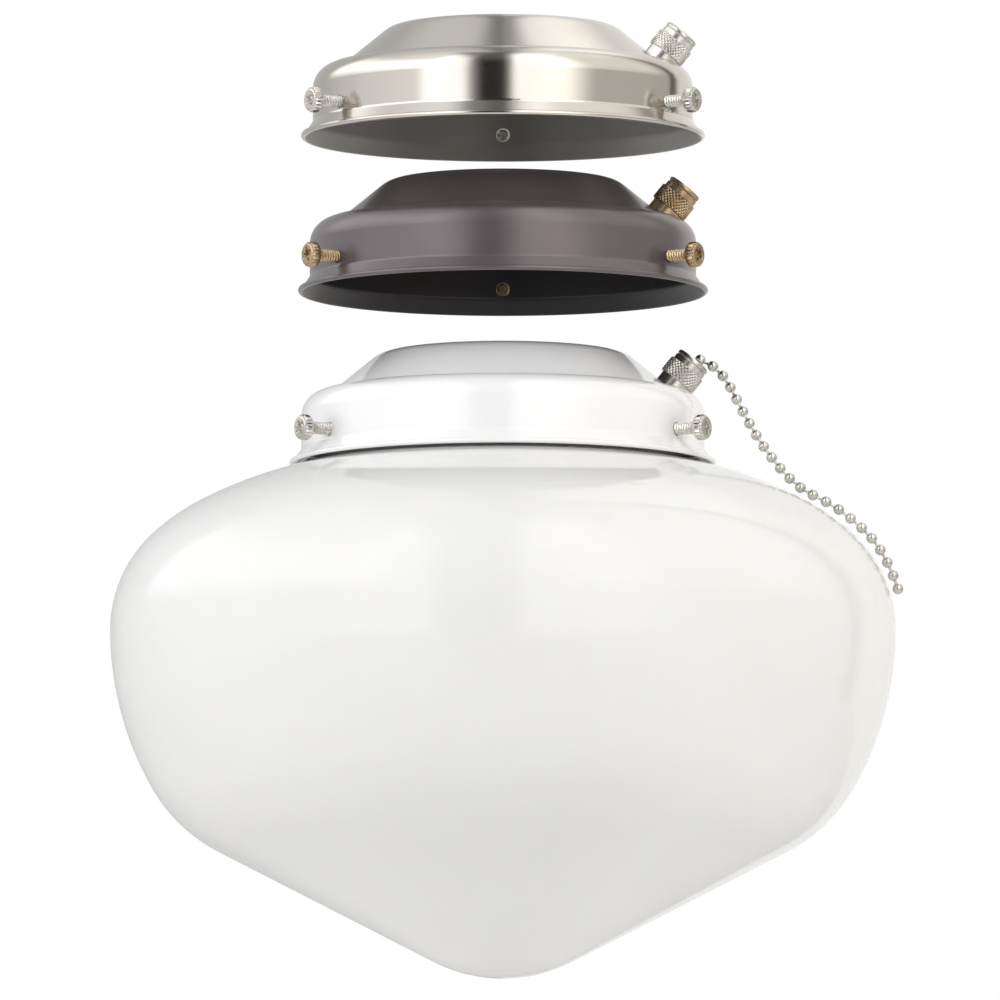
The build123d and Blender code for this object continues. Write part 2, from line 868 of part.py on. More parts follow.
def bulb_contact():
    with BuildPart() as button:
        with BuildSketch(Plane.XY.offset(insulator_top)):
            Circle(button_radius)
        extrude(amount=button_height, taper=button_taper)
    return finish(button, "bulb_contact")


def bulb_insulator():
    with BuildPart() as insulator:
        with BuildSketch(Plane.XY.offset(lamp_shell_top)):
            Circle(insulator_radius)
        extrude(amount=insulator_height, taper=insulator_taper)
    return finish(insulator, "bulb_insulator")


def bulb_screw_base():
    """The threaded shell of the lamp, with rounded grooves for its thread."""
    groove_top = lamp_shell_top - lamp_thread_pitch
    groove_radius = lamp_base_radius + lamp_thread_depth
    with BuildPart() as base:
        with BuildSketch(Plane.XY.offset(lamp_shell_top)):
            Circle(lamp_base_radius)
        extrude(amount=-lamp_shell_height)
        for turn in range(lamp_thread_count):
            with BuildSketch(Plane.XZ):
                with Locations((groove_radius, groove_top - lamp_thread_pitch * turn)):
                    Circle(lamp_thread_groove)
            revolve(axis=Axis.Z, mode=Mode.SUBTRACT)
        fillet(base.faces().sort_by(Axis.Z)[-1].edges(), radius=lamp_thread_depth)
    return finish(base, "bulb_screw_base")


def bulb_collar():
    """The flared housing of the lamp, closed at the top and open to the globe."""
    with BuildPart() as collar:
        with BuildSketch(Plane.XZ):
            with BuildLine():
                flare = Spline(
                    (collar_top_radius, collar_top),
                    (collar_foot_radius, collar_foot),
                    tangents=collar_headings,
                )
                Polyline(flare @ 0, (0, collar_top), (0, collar_top - collar_wall))
                inner = Spline(
                    (collar_top_radius - collar_wall, collar_top - collar_wall),
                    (collar_foot_radius - collar_wall, collar_foot),
                    tangents=collar_headings,
                )
                Line((0, collar_top - collar_wall), inner @ 0)
                Line(inner @ 1, flare @ 1)
            make_face()
        revolve(axis=Axis.Z)
    return finish(collar, "bulb_collar")


def bulb_globe():
    """The diffuser, a thin spherical cap that closes the collar."""
    inner_radius = globe_radius - globe_wall
    with BuildPart() as globe:
        with Locations((0, 0, globe_centre)):
            Sphere(globe_radius)
            Sphere(inner_radius, mode=Mode.SUBTRACT)
        split(bisect_by=Plane.XY.offset(collar_foot), keep=Keep.BOTTOM)
    return finish(globe, "bulb_globe")


def bulb_led_board():
    """The round board with its light-emitting diodes, set in the mouth of the collar."""
    with BuildPart() as board:
        with BuildSketch(Plane.XY.offset(collar_foot)):
            Circle(board_radius)
        extrude(amount=board_thickness)
        with BuildSketch(Plane.XY.offset(collar_foot)):
            with PolarLocations(diode_circle_radius, diode_count):
                Rectangle(diode_size, diode_size)
        extrude(amount=-diode_height)
    return finish(board, "bulb_led_board")


# Leads: each is one round wire along its route

def lead(label, route):
    with BuildPart() as wire:
        with BuildLine():
            path = FilletPolyline(*route, radius=lead_bend)
        with BuildSketch(Plane(origin=path @ 0, z_dir=path % 0)):
            Circle(lead_radius)
        sweep(path=path)
    return finish(wire, label)


def make_leads():
    side = contact_spacing / 2
    clamp = terminal_offset + terminal_radius / 2
    switch_end = switch_world(-lead_start, -lead_depth, side)
    lead_drop = switch_end[0] - lead_fall_run
    lead("lead_white", [
        (0, lead_side, lead_top),
        (0, lead_side, lead_level),
        (0, clamp, lead_level),
    ])
    lead("lead_black", [
        (0, -lead_side, lead_top),
        (0, -lead_side, lead_level),
        (lead_turn, side, lead_level),
        (lead_drop, side, lead_level),
        switch_end,
    ])
    lead("lead_switched", [
        switch_world(-lead_start, -lead_depth, -side),
        (lead_drop, -side, lead_level),
        (lead_turn, -side, lead_level),
        (0, -clamp, lead_level),
    ])


os.makedirs("parts", exist_ok=True)
make_fitter("", *mounted, neck_radius + neck_seat_gap)
make_fitter("bronze_", bronze_skirt_radius, bronze_top_height, bronze_skirt_radius - sheet)
make_fitter("nickel_", nickel_skirt_radius, nickel_top_height, nickel_skirt_radius - sheet)
glass_shade()
switch_housing()
switch_cover()
switch_spindle()
switch_rotor()
switch_return_spring()
switch_contacts()
pull_chain()
pull_stem()
threaded_nipple()
lock_washer()
hex_lock_nut()
lampholder_cap()
lampholder_body()
lampholder_screw_shell()
lampholder_centre_contact()
terminal_screws()
bulb_contact()
bulb_insulator()
bulb_screw_base()
bulb_collar()
bulb_globe()
bulb_led_board()
make_leads()
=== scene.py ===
# %% [markdown]
# # A ceiling fan light kit, dressed for its portrait
#
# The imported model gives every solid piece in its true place: an opal glass bowl,
# three fitter pans, their screws and switch hardware, and what hides inside.
# This script keeps those places and gives each piece its finish. Where the real
# surface has finer relief than a plain solid should carry, such as a screw's
# thread or a knurl, a new surface is worked out here and stands in for the solid.

# %% Load the fixed frame
import json

import bmesh
import bpy
import numpy as np
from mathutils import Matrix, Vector


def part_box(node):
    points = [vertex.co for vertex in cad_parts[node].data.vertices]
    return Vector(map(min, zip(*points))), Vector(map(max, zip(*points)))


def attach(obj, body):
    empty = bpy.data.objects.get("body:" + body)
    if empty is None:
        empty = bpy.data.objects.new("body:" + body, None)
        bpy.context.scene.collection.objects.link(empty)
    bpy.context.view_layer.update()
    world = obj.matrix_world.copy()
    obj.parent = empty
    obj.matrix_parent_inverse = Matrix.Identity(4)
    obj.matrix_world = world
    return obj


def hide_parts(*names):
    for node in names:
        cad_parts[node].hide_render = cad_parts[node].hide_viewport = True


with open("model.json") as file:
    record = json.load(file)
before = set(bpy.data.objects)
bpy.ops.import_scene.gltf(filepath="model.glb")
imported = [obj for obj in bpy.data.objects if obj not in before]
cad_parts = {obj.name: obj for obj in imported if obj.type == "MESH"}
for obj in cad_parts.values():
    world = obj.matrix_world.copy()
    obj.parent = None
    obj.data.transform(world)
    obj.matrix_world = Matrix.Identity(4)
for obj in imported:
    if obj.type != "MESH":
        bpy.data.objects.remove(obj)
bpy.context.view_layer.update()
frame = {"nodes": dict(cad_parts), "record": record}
MM = 0.001

# %% [markdown]
# ## The camera
#
# The lamp was photographed from a little below, with a long lens. A camera twelve
# metres away gives the same flat perspective, and it looks up by 6.3 degrees,
# which is how far the rim of each pan opens into an ellipse.

# %% Place the camera
TILT = np.radians(6.3)
DISTANCE = 12.0
SENSOR = 36.0
FRAME_PIXELS = 1000
MM_PER_PIXEL = 0.2748
AXIS_PIXEL = np.array([503.0, 353.6])

look = np.array([0.0, np.cos(TILT), np.sin(TILT)])
lift = np.array([0.0, -np.sin(TILT), np.cos(TILT)])
offset = (FRAME_PIXELS / 2 - AXIS_PIXEL) * MM_PER_PIXEL * MM
aim = np.array([1.0, 0.0, 0.0]) * offset[0] - lift * offset[1]
camera_data = bpy.data.cameras.new("portrait_lens")
camera_data.sensor_width = SENSOR
camera_data.lens = SENSOR * DISTANCE / (FRAME_PIXELS * MM_PER_PIXEL * MM)
camera_data.clip_end = 50.0
camera = bpy.data.objects.new("portrait_camera", camera_data)
bpy.context.scene.collection.objects.link(camera)
camera.location = Vector(aim - look * DISTANCE)
camera.rotation_euler = (np.pi / 2 + TILT, 0.0, 0.0)
bpy.context.scene.camera = camera
print("lens", round(camera_data.lens, 1), "mm at", np.round(camera.location, 3))

# %% [markdown]
# ## Shader arithmetic
#
# Procedural finishes are sums and products of patterns. Written as nodes they
# are hard to read, so a small class wraps a socket, and an ordinary expression
# such as `grain * 0.2 + 0.1` adds the Math nodes for it.

# %% A socket that can be added and multiplied
class Wire:
    """One number or socket in a finish. Operators on it add Math nodes."""

    def __init__(self, bench, socket):
        self.bench = bench
        self.socket = socket

    def math(self, operation, *others):
        return self.bench.add("ShaderNodeMath", {"operation": operation}, [self, *others])

    def __add__(self, other):
        return self.math("ADD", other)

    def __mul__(self, other):
        return self.math("MULTIPLY", other)

    def __sub__(self, other):
        return self.math("SUBTRACT", other)

    def __truediv__(self, other):
        return self.math("DIVIDE", other)

    def __rsub__(self, other):
        return self.bench.add("ShaderNodeMath", {"operation": "SUBTRACT"}, [other, self])

    def __pow__(self, other):
        return self.math("POWER", other)

    __radd__ = __add__
    __rmul__ = __mul__

    def step(self, low, high):
        """0 below low, 1 above high, smooth between them."""
        return self.bench.add(
            "ShaderNodeMapRange",
            {"interpolation_type": "SMOOTHSTEP"},
            {"Value": self, "From Min": low, "From Max": high},
        )


class Bench:
    """The node tree of one finish, and one method that adds any node to it."""

    def __init__(self, tree):
        self.tree = tree
        tree.nodes.clear()

    def add(self, kind, settings=None, values=(), output=0):
        """Adds a node, sets its settings, then its sockets by name or in order."""
        node = self.tree.nodes.new(kind)
        for name, value in (settings or {}).items():
            setattr(node, name, value)
        named = values.items() if isinstance(values, dict) else enumerate(values)
        for key, value in named:
            if isinstance(value, Wire):
                self.tree.links.new(value.socket, node.inputs[key])
            else:
                node.inputs[key].default_value = value
        self.last = node
        return Wire(self, node.outputs[output]) if len(node.outputs) else node

    def place(self):
        """The point's place on the object, in metres."""
        return self.add("ShaderNodeTexCoord", output=3)

    def parts(self, vector):
        """The three numbers of a vector."""
        self.add("ShaderNodeSeparateXYZ", {}, [vector])
        return [Wire(self, socket) for socket in self.last.outputs]

    def join(self, x, y, z):
        return self.add("ShaderNodeCombineXYZ", {}, [x, y, z])

    def noise(self, vector, scale, detail=3.0, roughness=0.5):
        values = {"Vector": vector, "Scale": scale, "Detail": detail, "Roughness": roughness}
        return self.add("ShaderNodeTexNoise", {}, values)

    def mix(self, share, first, second):
        """A colour between two colours."""
        settings = {"data_type": "RGBA"}
        return self.add("ShaderNodeMix", settings, {0: share, 6: first, 7: second}, output=2)

    def bump(self, height, strength, distance):
        values = {"Height": height, "Strength": strength, "Distance": distance}
        return self.add("ShaderNodeBump", {}, values)


print("shader arithmetic ready")

# %% [markdown]
# ## Finishes
#
# Every finish ends in one Principled shader. The colours are linear values. The
# pattern that breaks up each surface is kept as faint as it is on the real one:
# plating is not spotless, enamel has a slight orange peel, and pressed metal
# keeps the fine rings of its polishing wheel.

# %% A new finish and its closing nodes
def new_finish(name):
    material = bpy.data.materials.new(name)
    material.use_nodes = True
    return material, Bench(material.node_tree)


def close_finish(material, bench, **sockets):
    """Adds the Principled shader and sets its sockets from plain words."""
    values = {word.replace("_", " "): value for word, value in sockets.items()}
    shader = bench.add("ShaderNodeBsdfPrincipled", {}, values)
    bench.add("ShaderNodeOutputMaterial", {}, [shader])
    return material


def rgb(red, green, blue):
    return (red, green, blue, 1.0)


# %% [markdown]
# Enamel is a thick white coat that flows before it sets. Two sizes of noise give
# the slow swell and the fine peel that soften the edges of its reflections.

# %% White enamel
def make_enamel():
    material, bench = new_finish("white_enamel")
    place = bench.place()
    swell = bench.noise(place, 60.0, 2.0)
    peel = bench.noise(place, 900.0, 2.0)
    tint = bench.mix(swell.step(0.3, 0.7), rgb(0.87, 0.87, 0.88), rgb(0.89, 0.89, 0.90))
    return close_finish(
        material,
        bench,
        Base_Color=tint,
        Roughness=peel * 0.05 + 0.13,
        Normal=bench.bump(swell * 0.6 + peel * 0.4, 0.25, 0.0001),
        Coat_Weight=0.6,
        Coat_Roughness=0.06,
    )


# %% [markdown]
# Brushed plating is drawn around the axis while the pan spins on a lathe, so its
# scratches are rings. Noise that reads only the distance from the axis and the
# height has exactly that form.

# %% Metals brushed or turned around the axis
def ring_place(bench, stretch):
    """A place that only changes across the rings: radius, height, and a little angle."""
    x, y, z = bench.parts(bench.place())
    radius = (x * x + y * y) ** 0.5
    return bench.join(radius * stretch, z * stretch, x * 12.0 + y * 9.0)


def inside_dull_shade_share(bench):
    """1 on the faces that look at the axis or down into the pan, 0 on the outside. The finishes
    make these faces rougher, as dull plating, and darken their colour as painted shade.
    """
    x, y, z = bench.parts(bench.place())
    face_x, face_y, face_z = bench.parts(bench.add("ShaderNodeNewGeometry", output=1))
    radius = (x * x + y * y) ** 0.5 + 0.0001
    outward = (face_x * x + face_y * y) / radius
    under_disc = (1.0 - face_z.step(-0.7, -0.4)) * (1.0 - radius.step(0.034, 0.036))
    return (1.0 - outward.step(-0.4, -0.2)).math("MAXIMUM", under_disc)


def make_brushed(name, colour, shade, inside, roughness, depth):
    material, bench = new_finish(name)
    rings = bench.noise(ring_place(bench, 5200.0), 1.0, 3.0, 0.6)
    cloud = bench.noise(bench.place(), 45.0, 3.0)
    dull_and_shade = inside_dull_shade_share(bench)
    tint = bench.mix(cloud.step(0.3, 0.7) * 0.6 + rings * 0.4, colour, shade)
    return close_finish(
        material,
        bench,
        # Inside the pan the colour turns to the darker inside colour: painted shade in the
        # recess. The extra roughness there is dull plating.
        Base_Color=bench.mix(dull_and_shade, tint, inside),
        Metallic=1.0,
        Roughness=rings * 0.05 + cloud * 0.04 + dull_and_shade * 0.42 + roughness,
        Normal=bench.bump(rings, depth, 0.00003),
        Anisotropic=0.8,
        Anisotropic_Rotation=0.25,
    )


def make_bronze():
    """Dark bronze lacquer: a satin film over metal, with slow clouds of brown and violet."""
    material, bench = new_finish("dark_bronze")
    cloud = bench.noise(bench.place(), 35.0, 4.0, 0.6)
    rings = bench.noise(ring_place(bench, 3600.0), 1.0, 3.0)
    speck = bench.noise(bench.place(), 1500.0, 2.0)
    dull_and_shade = inside_dull_shade_share(bench)
    tint = bench.mix(cloud.step(0.35, 0.65), rgb(0.124, 0.102, 0.107), rgb(0.143, 0.119, 0.126))
    return close_finish(
        material,
        bench,
        # Near black inside the pan: painted shade in the recess. The extra roughness there is a
        # dull inner film.
        Base_Color=bench.mix(dull_and_shade, tint, rgb(0.035, 0.032, 0.032)),
        Metallic=0.55,
        Roughness=cloud * 0.06 + speck * 0.05 + dull_and_shade * 0.2 + 0.25,
        Normal=bench.bump(rings * 0.5 + speck * 0.5, 0.12, 0.00003),
        Coat_Weight=0.5,
        Coat_Roughness=0.3,
    )


# %% [markdown]
# Small plated hardware is bright, with slow clouds of darker film. The same
# recipe serves nickel, aged brass, zinc and plain brass with other colours.

# %% Plated hardware
def make_plate(name, colour, shade, roughness, metallic=1.0):
    material, bench = new_finish(name)
    cloud = bench.noise(bench.place(), 220.0, 3.0)
    grain = bench.noise(bench.place(), 2400.0, 2.0)
    tint = bench.mix(cloud.step(0.35, 0.7), colour, shade)
    return close_finish(
        material,
        bench,
        Base_Color=tint,
        Metallic=metallic,
        Roughness=cloud * 0.08 + grain * 0.04 + roughness,
        Normal=bench.bump(grain, 0.12, 0.00003),
    )


# %% [markdown]
# Opal glass is white through and through, and light that enters it comes out again
# a few millimetres away, which softens every shadow on it. Its skin is as glossy
# as clear glass, and the blown bowl is never quite even: a very slow swell bends
# its reflections.

# %% Opal glass
def make_opal():
    material, bench = new_finish("opal_glass")
    place = bench.place()
    swell = bench.noise(place, 9.0, 1.0)
    cloud = bench.noise(place, 28.0, 2.0)
    tint = bench.mix(cloud.step(0.3, 0.7), rgb(0.86, 0.843, 0.818), rgb(0.874, 0.86, 0.837))
    return close_finish(
        material,
        bench,
        Base_Color=tint,
        Roughness=cloud * 0.03 + 0.07,
        Normal=bench.bump(swell, 0.2, 0.0006),
        Subsurface_Weight=1.0,
        Subsurface_Radius=(1.0, 0.9, 0.8),
        Subsurface_Scale=0.005,
        IOR=1.5,
    )


# %% [markdown]
# Moulded parts and wire insulation have a fine spark-eroded grain.

# %% Moulded and coated pieces
def make_moulded(name, colour, shade, roughness):
    material, bench = new_finish(name)
    cloud = bench.noise(bench.place(), 90.0, 2.0)
    grain = bench.noise(bench.place(), 3200.0, 2.0)
    tint = bench.mix(cloud, colour, shade)
    return close_finish(
        material,
        bench,
        Base_Color=tint,
        Roughness=grain * 0.12 + roughness,
        Normal=bench.bump(grain, 0.2, 0.00003),
    )


finishes = {
    "white_enamel": make_enamel(),
    "dark_bronze": make_bronze(),
    "brushed_nickel": make_brushed(
        "brushed_nickel",
        rgb(0.68, 0.65, 0.60),
        rgb(0.62, 0.59, 0.54),
        # darker colour for the faces inside the pan: painted shade
        rgb(0.50, 0.49, 0.47),
        0.12,
        0.12,
    ),
    "bright_nickel": make_plate(
        "bright_nickel", rgb(0.72, 0.70, 0.66), rgb(0.60, 0.58, 0.54), 0.22
    ),
    "antique_brass": make_plate(
        "antique_brass", rgb(0.56, 0.43, 0.27), rgb(0.40, 0.29, 0.18), 0.24
    ),
    "opal_glass": make_opal(),
    "black_moulding": make_moulded(
        "black_moulding", rgb(0.022, 0.022, 0.023), rgb(0.032, 0.032, 0.033), 0.42
    ),
    "white_moulding": make_moulded(
        "white_moulding", rgb(0.74, 0.74, 0.72), rgb(0.78, 0.78, 0.77), 0.38
    ),
    "zinc_steel": make_plate("zinc_steel", rgb(0.55, 0.56, 0.56), rgb(0.46, 0.47, 0.48), 0.3),
    "spring_steel": make_plate("spring_steel", rgb(0.36, 0.36, 0.37), rgb(0.28, 0.28, 0.29), 0.3),
    "contact_brass": make_plate(
        "contact_brass", rgb(0.76, 0.58, 0.28), rgb(0.66, 0.48, 0.22), 0.26
    ),
    "phenolic": make_moulded("phenolic", rgb(0.035, 0.026, 0.024), rgb(0.050, 0.036, 0.032), 0.3),
    "solder": make_plate("solder", rgb(0.52, 0.52, 0.53), rgb(0.44, 0.44, 0.45), 0.36),
    "lamp_diffuser": make_moulded(
        "lamp_diffuser", rgb(0.84, 0.84, 0.82), rgb(0.86, 0.86, 0.85), 0.3
    ),
    "white_board": make_moulded("white_board", rgb(0.78, 0.79, 0.79), rgb(0.83, 0.83, 0.83), 0.4),
    "white_insulation": make_moulded(
        "white_insulation", rgb(0.78, 0.78, 0.76), rgb(0.82, 0.82, 0.80), 0.32
    ),
    "black_insulation": make_moulded(
        "black_insulation", rgb(0.020, 0.020, 0.021), rgb(0.030, 0.030, 0.031), 0.34
    ),
}
print("finishes:", len(finishes))

# %% [markdown]
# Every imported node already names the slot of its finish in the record, so one
# short loop dresses all of them.

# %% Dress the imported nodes
slot_of = {row["node"]: row["material_slot"] for row in frame["record"]["subparts"]}
for node, solid in frame["nodes"].items():
    solid.data.materials.clear()
    solid.data.materials.append(finishes[slot_of[node]])
print("dressed", len(slot_of), "nodes")

# %% [markdown]
# ## Surfaces from arrays
#
# Each new surface is a grid of points: rows run along the piece and columns run
# around it. One helper turns such a grid into a mesh, closes it around, and can
# close its ends. Another joins several grids into one piece.

# %% From grids to a mesh
def grid_faces(rows, columns, start, wrap_rows=False):
    """Quads between neighbouring rows and columns; the columns close into a ring."""
    last = rows if wrap_rows else rows - 1
    row, column = np.meshgrid(np.arange(last), np.arange(columns), indexing="ij")
    below = (row + 1) % rows
    beside = (column + 1) % columns
    quads = np.stack(
        [
            row * columns + column,
            row * columns + beside,
            below * columns + beside,
            below * columns + column,
        ],
        axis=-1,
    )
    return quads.reshape(-1, 4) + start


def weld(mesh, reach):
    """Joins points that coincide, as on an axis, and turns every face outwards."""
    work = bmesh.new()
    work.from_mesh(mesh)
    bmesh.ops.remove_doubles(work, verts=work.verts, dist=reach)
    bmesh.ops.dissolve_degenerate(work, edges=work.edges, dist=reach)
    bmesh.ops.recalc_face_normals(work, faces=work.faces)
    work.to_mesh(mesh)
    work.free()


def make_piece(name, grids, body, replaced, wrap_rows=False, sharp=40.0):
    """Builds one mesh from several grids of points, smooth but for its sharp edges."""
    points, faces, start = [], [], 0
    for grid in grids:
        rows, columns = grid.shape[:2]
        points.append(grid.reshape(-1, 3))
        faces.append(grid_faces(rows, columns, start, wrap_rows))
        start += rows * columns
    mesh = bpy.data.meshes.new(name)
    mesh.from_pydata(np.concatenate(points), [], np.concatenate(faces))
    weld(mesh, 1e-7)
    mesh.shade_smooth()
    mesh.set_sharp_from_angle(angle=np.radians(sharp))
    piece = bpy.data.objects.new(name, mesh)
    bpy.context.scene.collection.objects.link(piece)
    mesh.materials.append(finishes[slot_of[replaced]])
    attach(piece, body)
    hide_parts(replaced)


def arc(start, heading, radius, sweep, steps):
    """Points of a circular arc that leaves start along heading and turns by sweep.

    The centre lies at radius to the left of the heading, or to the right where
    sweep is negative, and the point turns about it.
    """
    side = np.sign(sweep)
    left = np.array([-heading[1], heading[0]]) * side
    centre = start + left * radius
    angle = np.radians(sweep) * np.linspace(0.0, 1.0, steps + 1)[1:, None]
    spoke = start - centre
    turned = np.concatenate(
        [
            spoke[0] * np.cos(angle) - spoke[1] * np.sin(angle),
            spoke[0] * np.sin(angle) + spoke[1] * np.cos(angle),
        ],
        axis=1,
    )
    final = np.radians(sweep)
    new_heading = np.array(
        [
            heading[0] * np.cos(final) - heading[1] * np.sin(final),
            heading[0] * np.sin(final) + heading[1] * np.cos(final),
        ]
    )
    return centre + turned, new_heading


def lathe(profile, turns):
    """Turns a profile of (radius, height) about the axis: (r cos a, r sin a, h)."""
    angle = np.linspace(0.0, 2 * np.pi, turns, endpoint=False)
    radius = profile[:, 0][:, None]
    height = np.broadcast_to(profile[:, 1][:, None], (len(profile), turns))
    return np.stack([radius * np.cos(angle), radius * np.sin(angle), height], axis=-1)


print("surface helpers ready")

# %% [markdown]
# ## The glass
#
# The bowl's outline is a chain of arcs that meet without a corner: a cove under
# the neck, a shoulder that rises towards it, a dome, two arcs of belly, a tighter
# haunch, a straight flank and the rounded tip. Turned in 256 steps it reflects the
# studio without a facet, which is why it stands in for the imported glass. The inner
# wall lies 3 mm inside.

# %% The outline of the bowl
GLASS_WALL = 3.0
NECK, COVE, SHOULDER_TOP = 48.6, 9.0, -35.5
GLASS_RADIUS, BELLY, BELLY_SWEEP = 107.9, 34.9, 47.5
SHOULDER_RADIUS, SHOULDER_START, SHOULDER_END, NECK_COVE = 120.9, 27.2, 14.0, 7.0
LOWER_BELLY, LOWER_SWEEP = 87.6, 29.6
HAUNCH, HAUNCH_SWEEP, TIP = 42.7, 32.8, 41.6
TIP_SWEEP = 27.6
SCREW_DEPTH, SCREW_RADIUS, BEAD_GAP = 24.0, 1.75, 0.25
BEAD_HALF, BEAD_OUT = 1.8, 1.6

belly_out = np.cos(np.radians(BELLY_SWEEP))
DOME = (GLASS_RADIUS - BELLY + BELLY * belly_out - NECK - COVE) / belly_out
widest_height = SHOULDER_TOP - DOME + (DOME - BELLY) * np.sin(np.radians(BELLY_SWEEP))
WIDEST = np.array([GLASS_RADIUS, widest_height])


def bowl_lower():
    """From the widest ring down: belly, haunch, flank and tip, ending on the axis."""
    belly, heading = arc(WIDEST, np.array([0.0, -1.0]), LOWER_BELLY, -LOWER_SWEEP, 24)
    haunch, heading = arc(belly[-1], heading, HAUNCH, -HAUNCH_SWEEP, 20)
    tip_rise = np.array([-heading[1], heading[0]]) * -TIP
    run = (haunch[-1][0] + tip_rise[0]) / -heading[0]
    flank = haunch[-1] + heading * run * np.linspace(0, 1, 13)[1:, None]
    tip, heading = arc(flank[-1], heading, TIP, -TIP_SWEEP, 20)
    return np.concatenate([belly, haunch, flank, tip])


def bowl_upper():
    """From the widest ring up: belly, dome, shoulder and cove, ending on the neck."""
    belly, heading = arc(WIDEST, np.array([0.0, 1.0]), BELLY, BELLY_SWEEP, 24)
    dome, heading = arc(belly[-1], heading, DOME, 90.0 - BELLY_SWEEP - SHOULDER_START, 12)
    bend = SHOULDER_START - SHOULDER_END
    shoulder, heading = arc(dome[-1], heading, SHOULDER_RADIUS, bend, 16)
    reach = NECK + NECK_COVE * (1.0 - np.sin(np.radians(SHOULDER_END)))
    run = (shoulder[-1][0] - reach) / -heading[0]
    ledge = shoulder[-1] + heading * run * np.linspace(0, 1, 4)[1:, None]
    cove, heading = arc(ledge[-1], heading, NECK_COVE, SHOULDER_END - 90.0, 16)
    return np.concatenate([belly, dome, shoulder, ledge, cove])


def shift_inwards(line, amount):
    """Moves a line of points sideways by a fixed amount, square to its own run."""
    run = np.gradient(line, axis=0)
    run /= np.linalg.norm(run, axis=1)[:, None]
    return line + np.stack([-run[:, 1], run[:, 0]], axis=1) * amount


lower, upper = bowl_lower(), bowl_upper()
lower[-1, 0] = 0.0
outer = np.concatenate([lower[::-1], [WIDEST], upper])
bead_turn = np.radians(np.linspace(-90.0, 90.0, 13))[:, None]
bead_foot = -SCREW_DEPTH + SCREW_RADIUS + BEAD_GAP
bead_centre = np.array([NECK, bead_foot + BEAD_HALF])
bead_spoke = [BEAD_OUT * np.cos(bead_turn), BEAD_HALF * np.sin(bead_turn)]
bead = bead_centre + np.concatenate(bead_spoke, axis=1)
neck_top = [[NECK, bead_centre[1] + BEAD_HALF]]
inner = shift_inwards(np.concatenate([outer, neck_top]), GLASS_WALL)
inner[0, 0] = 0.0
glass_outline = np.concatenate([outer, bead, inner[::-1]]) * MM
make_piece("opal_bowl", [lathe(glass_outline, 256)], "frame", "glass_shade", sharp=50.0)
low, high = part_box("glass_shade")
print("tip", np.round(outer[0], 2), "packed glass", np.round([low, high], 4).tolist())

# %% [markdown]
# ## The three fitters' own frames
#
# Each pan stands at its own height with its own skirt. The switch's axis is
# square to the cone and crosses it a little above its foot, and the thumb screws
# point outwards at three azimuths. These few sizes place all the small hardware.

# %% Sizes of the fitters, in millimetres
FITTERS = {
    "": {"skirt": 55.4, "top": 0.0, "tip": 48.85},
    "bronze_": {"skirt": 53.1, "top": 47.8, "tip": 52.3},
    "nickel_": {"skirt": 52.3, "top": 90.6, "tip": 51.5},
}
SCREWS = {"left": -149.3, "right": -30.7, "back": 90.0}
CONE_RUN, CONE_DROP, SHOULDER, SETBACK = 13.2, 10.8, 8.4, 1.4

slope = np.hypot(CONE_RUN, CONE_DROP)
down_slope = np.array([CONE_RUN, 0.0, -CONE_DROP]) / slope
cone_normal = np.array([CONE_DROP, 0.0, CONE_RUN]) / slope


def switch_crossing(fitter):
    """The point of the cone's face where the switch's axis comes through."""
    foot = np.array([fitter["skirt"] - SHOULDER, 0.0, fitter["top"] - CONE_DROP])
    return foot - down_slope * SETBACK


print("crossings", [np.round(switch_crossing(f), 2).tolist() for f in FITTERS.values()])

# %% [markdown]
# ## Thumb screws
#
# A thread is one ridge wound around a rod. On a grid whose rows run along the
# screw and whose columns go around it, the radius needs only the share of a turn
# that row and column have in common. The head is a disc with a toothed rim and a
# cross recess, whose depth is worked out point by point on its face.

# %% One thumb screw
PITCH = 25.4 / 32
TEETH = 20
SCREW_STAND = 6.6
FACE_ROWS, FACE_LEVEL = 22, 2.9


def soft_step(value, low, high):
    """0 below low, 1 above high, and the smooth cubic 3s^2 - 2s^3 between."""
    share = np.clip((value - low) / (high - low), 0.0, 1.0)
    return share * share * (3 - 2 * share)


def screw_shank(tip, seat):
    """Radius = crest - depth * |2 frac(x / pitch - angle / turn) - 1|, tapered at the tip."""
    rows = int((seat - tip) / PITCH * 8)
    x = np.linspace(tip, seat + 0.4, rows)[:, None]
    angle = np.linspace(0.0, 2 * np.pi, 28, endpoint=False)[None, :]
    phase = np.mod(x / PITCH - angle / (2 * np.pi), 1.0)
    taper = np.clip(0.72 + (x - tip) / 1.6, 0.0, 1.0)
    radius = (1.74 - 0.36 * np.abs(2 * phase - 1)) * taper
    radius[0], radius[-1] = 0.0, 0.0
    x = np.broadcast_to(x, radius.shape).copy()
    x[1] = tip
    return np.stack([x, radius * np.cos(angle), radius * np.sin(angle)], axis=-1)


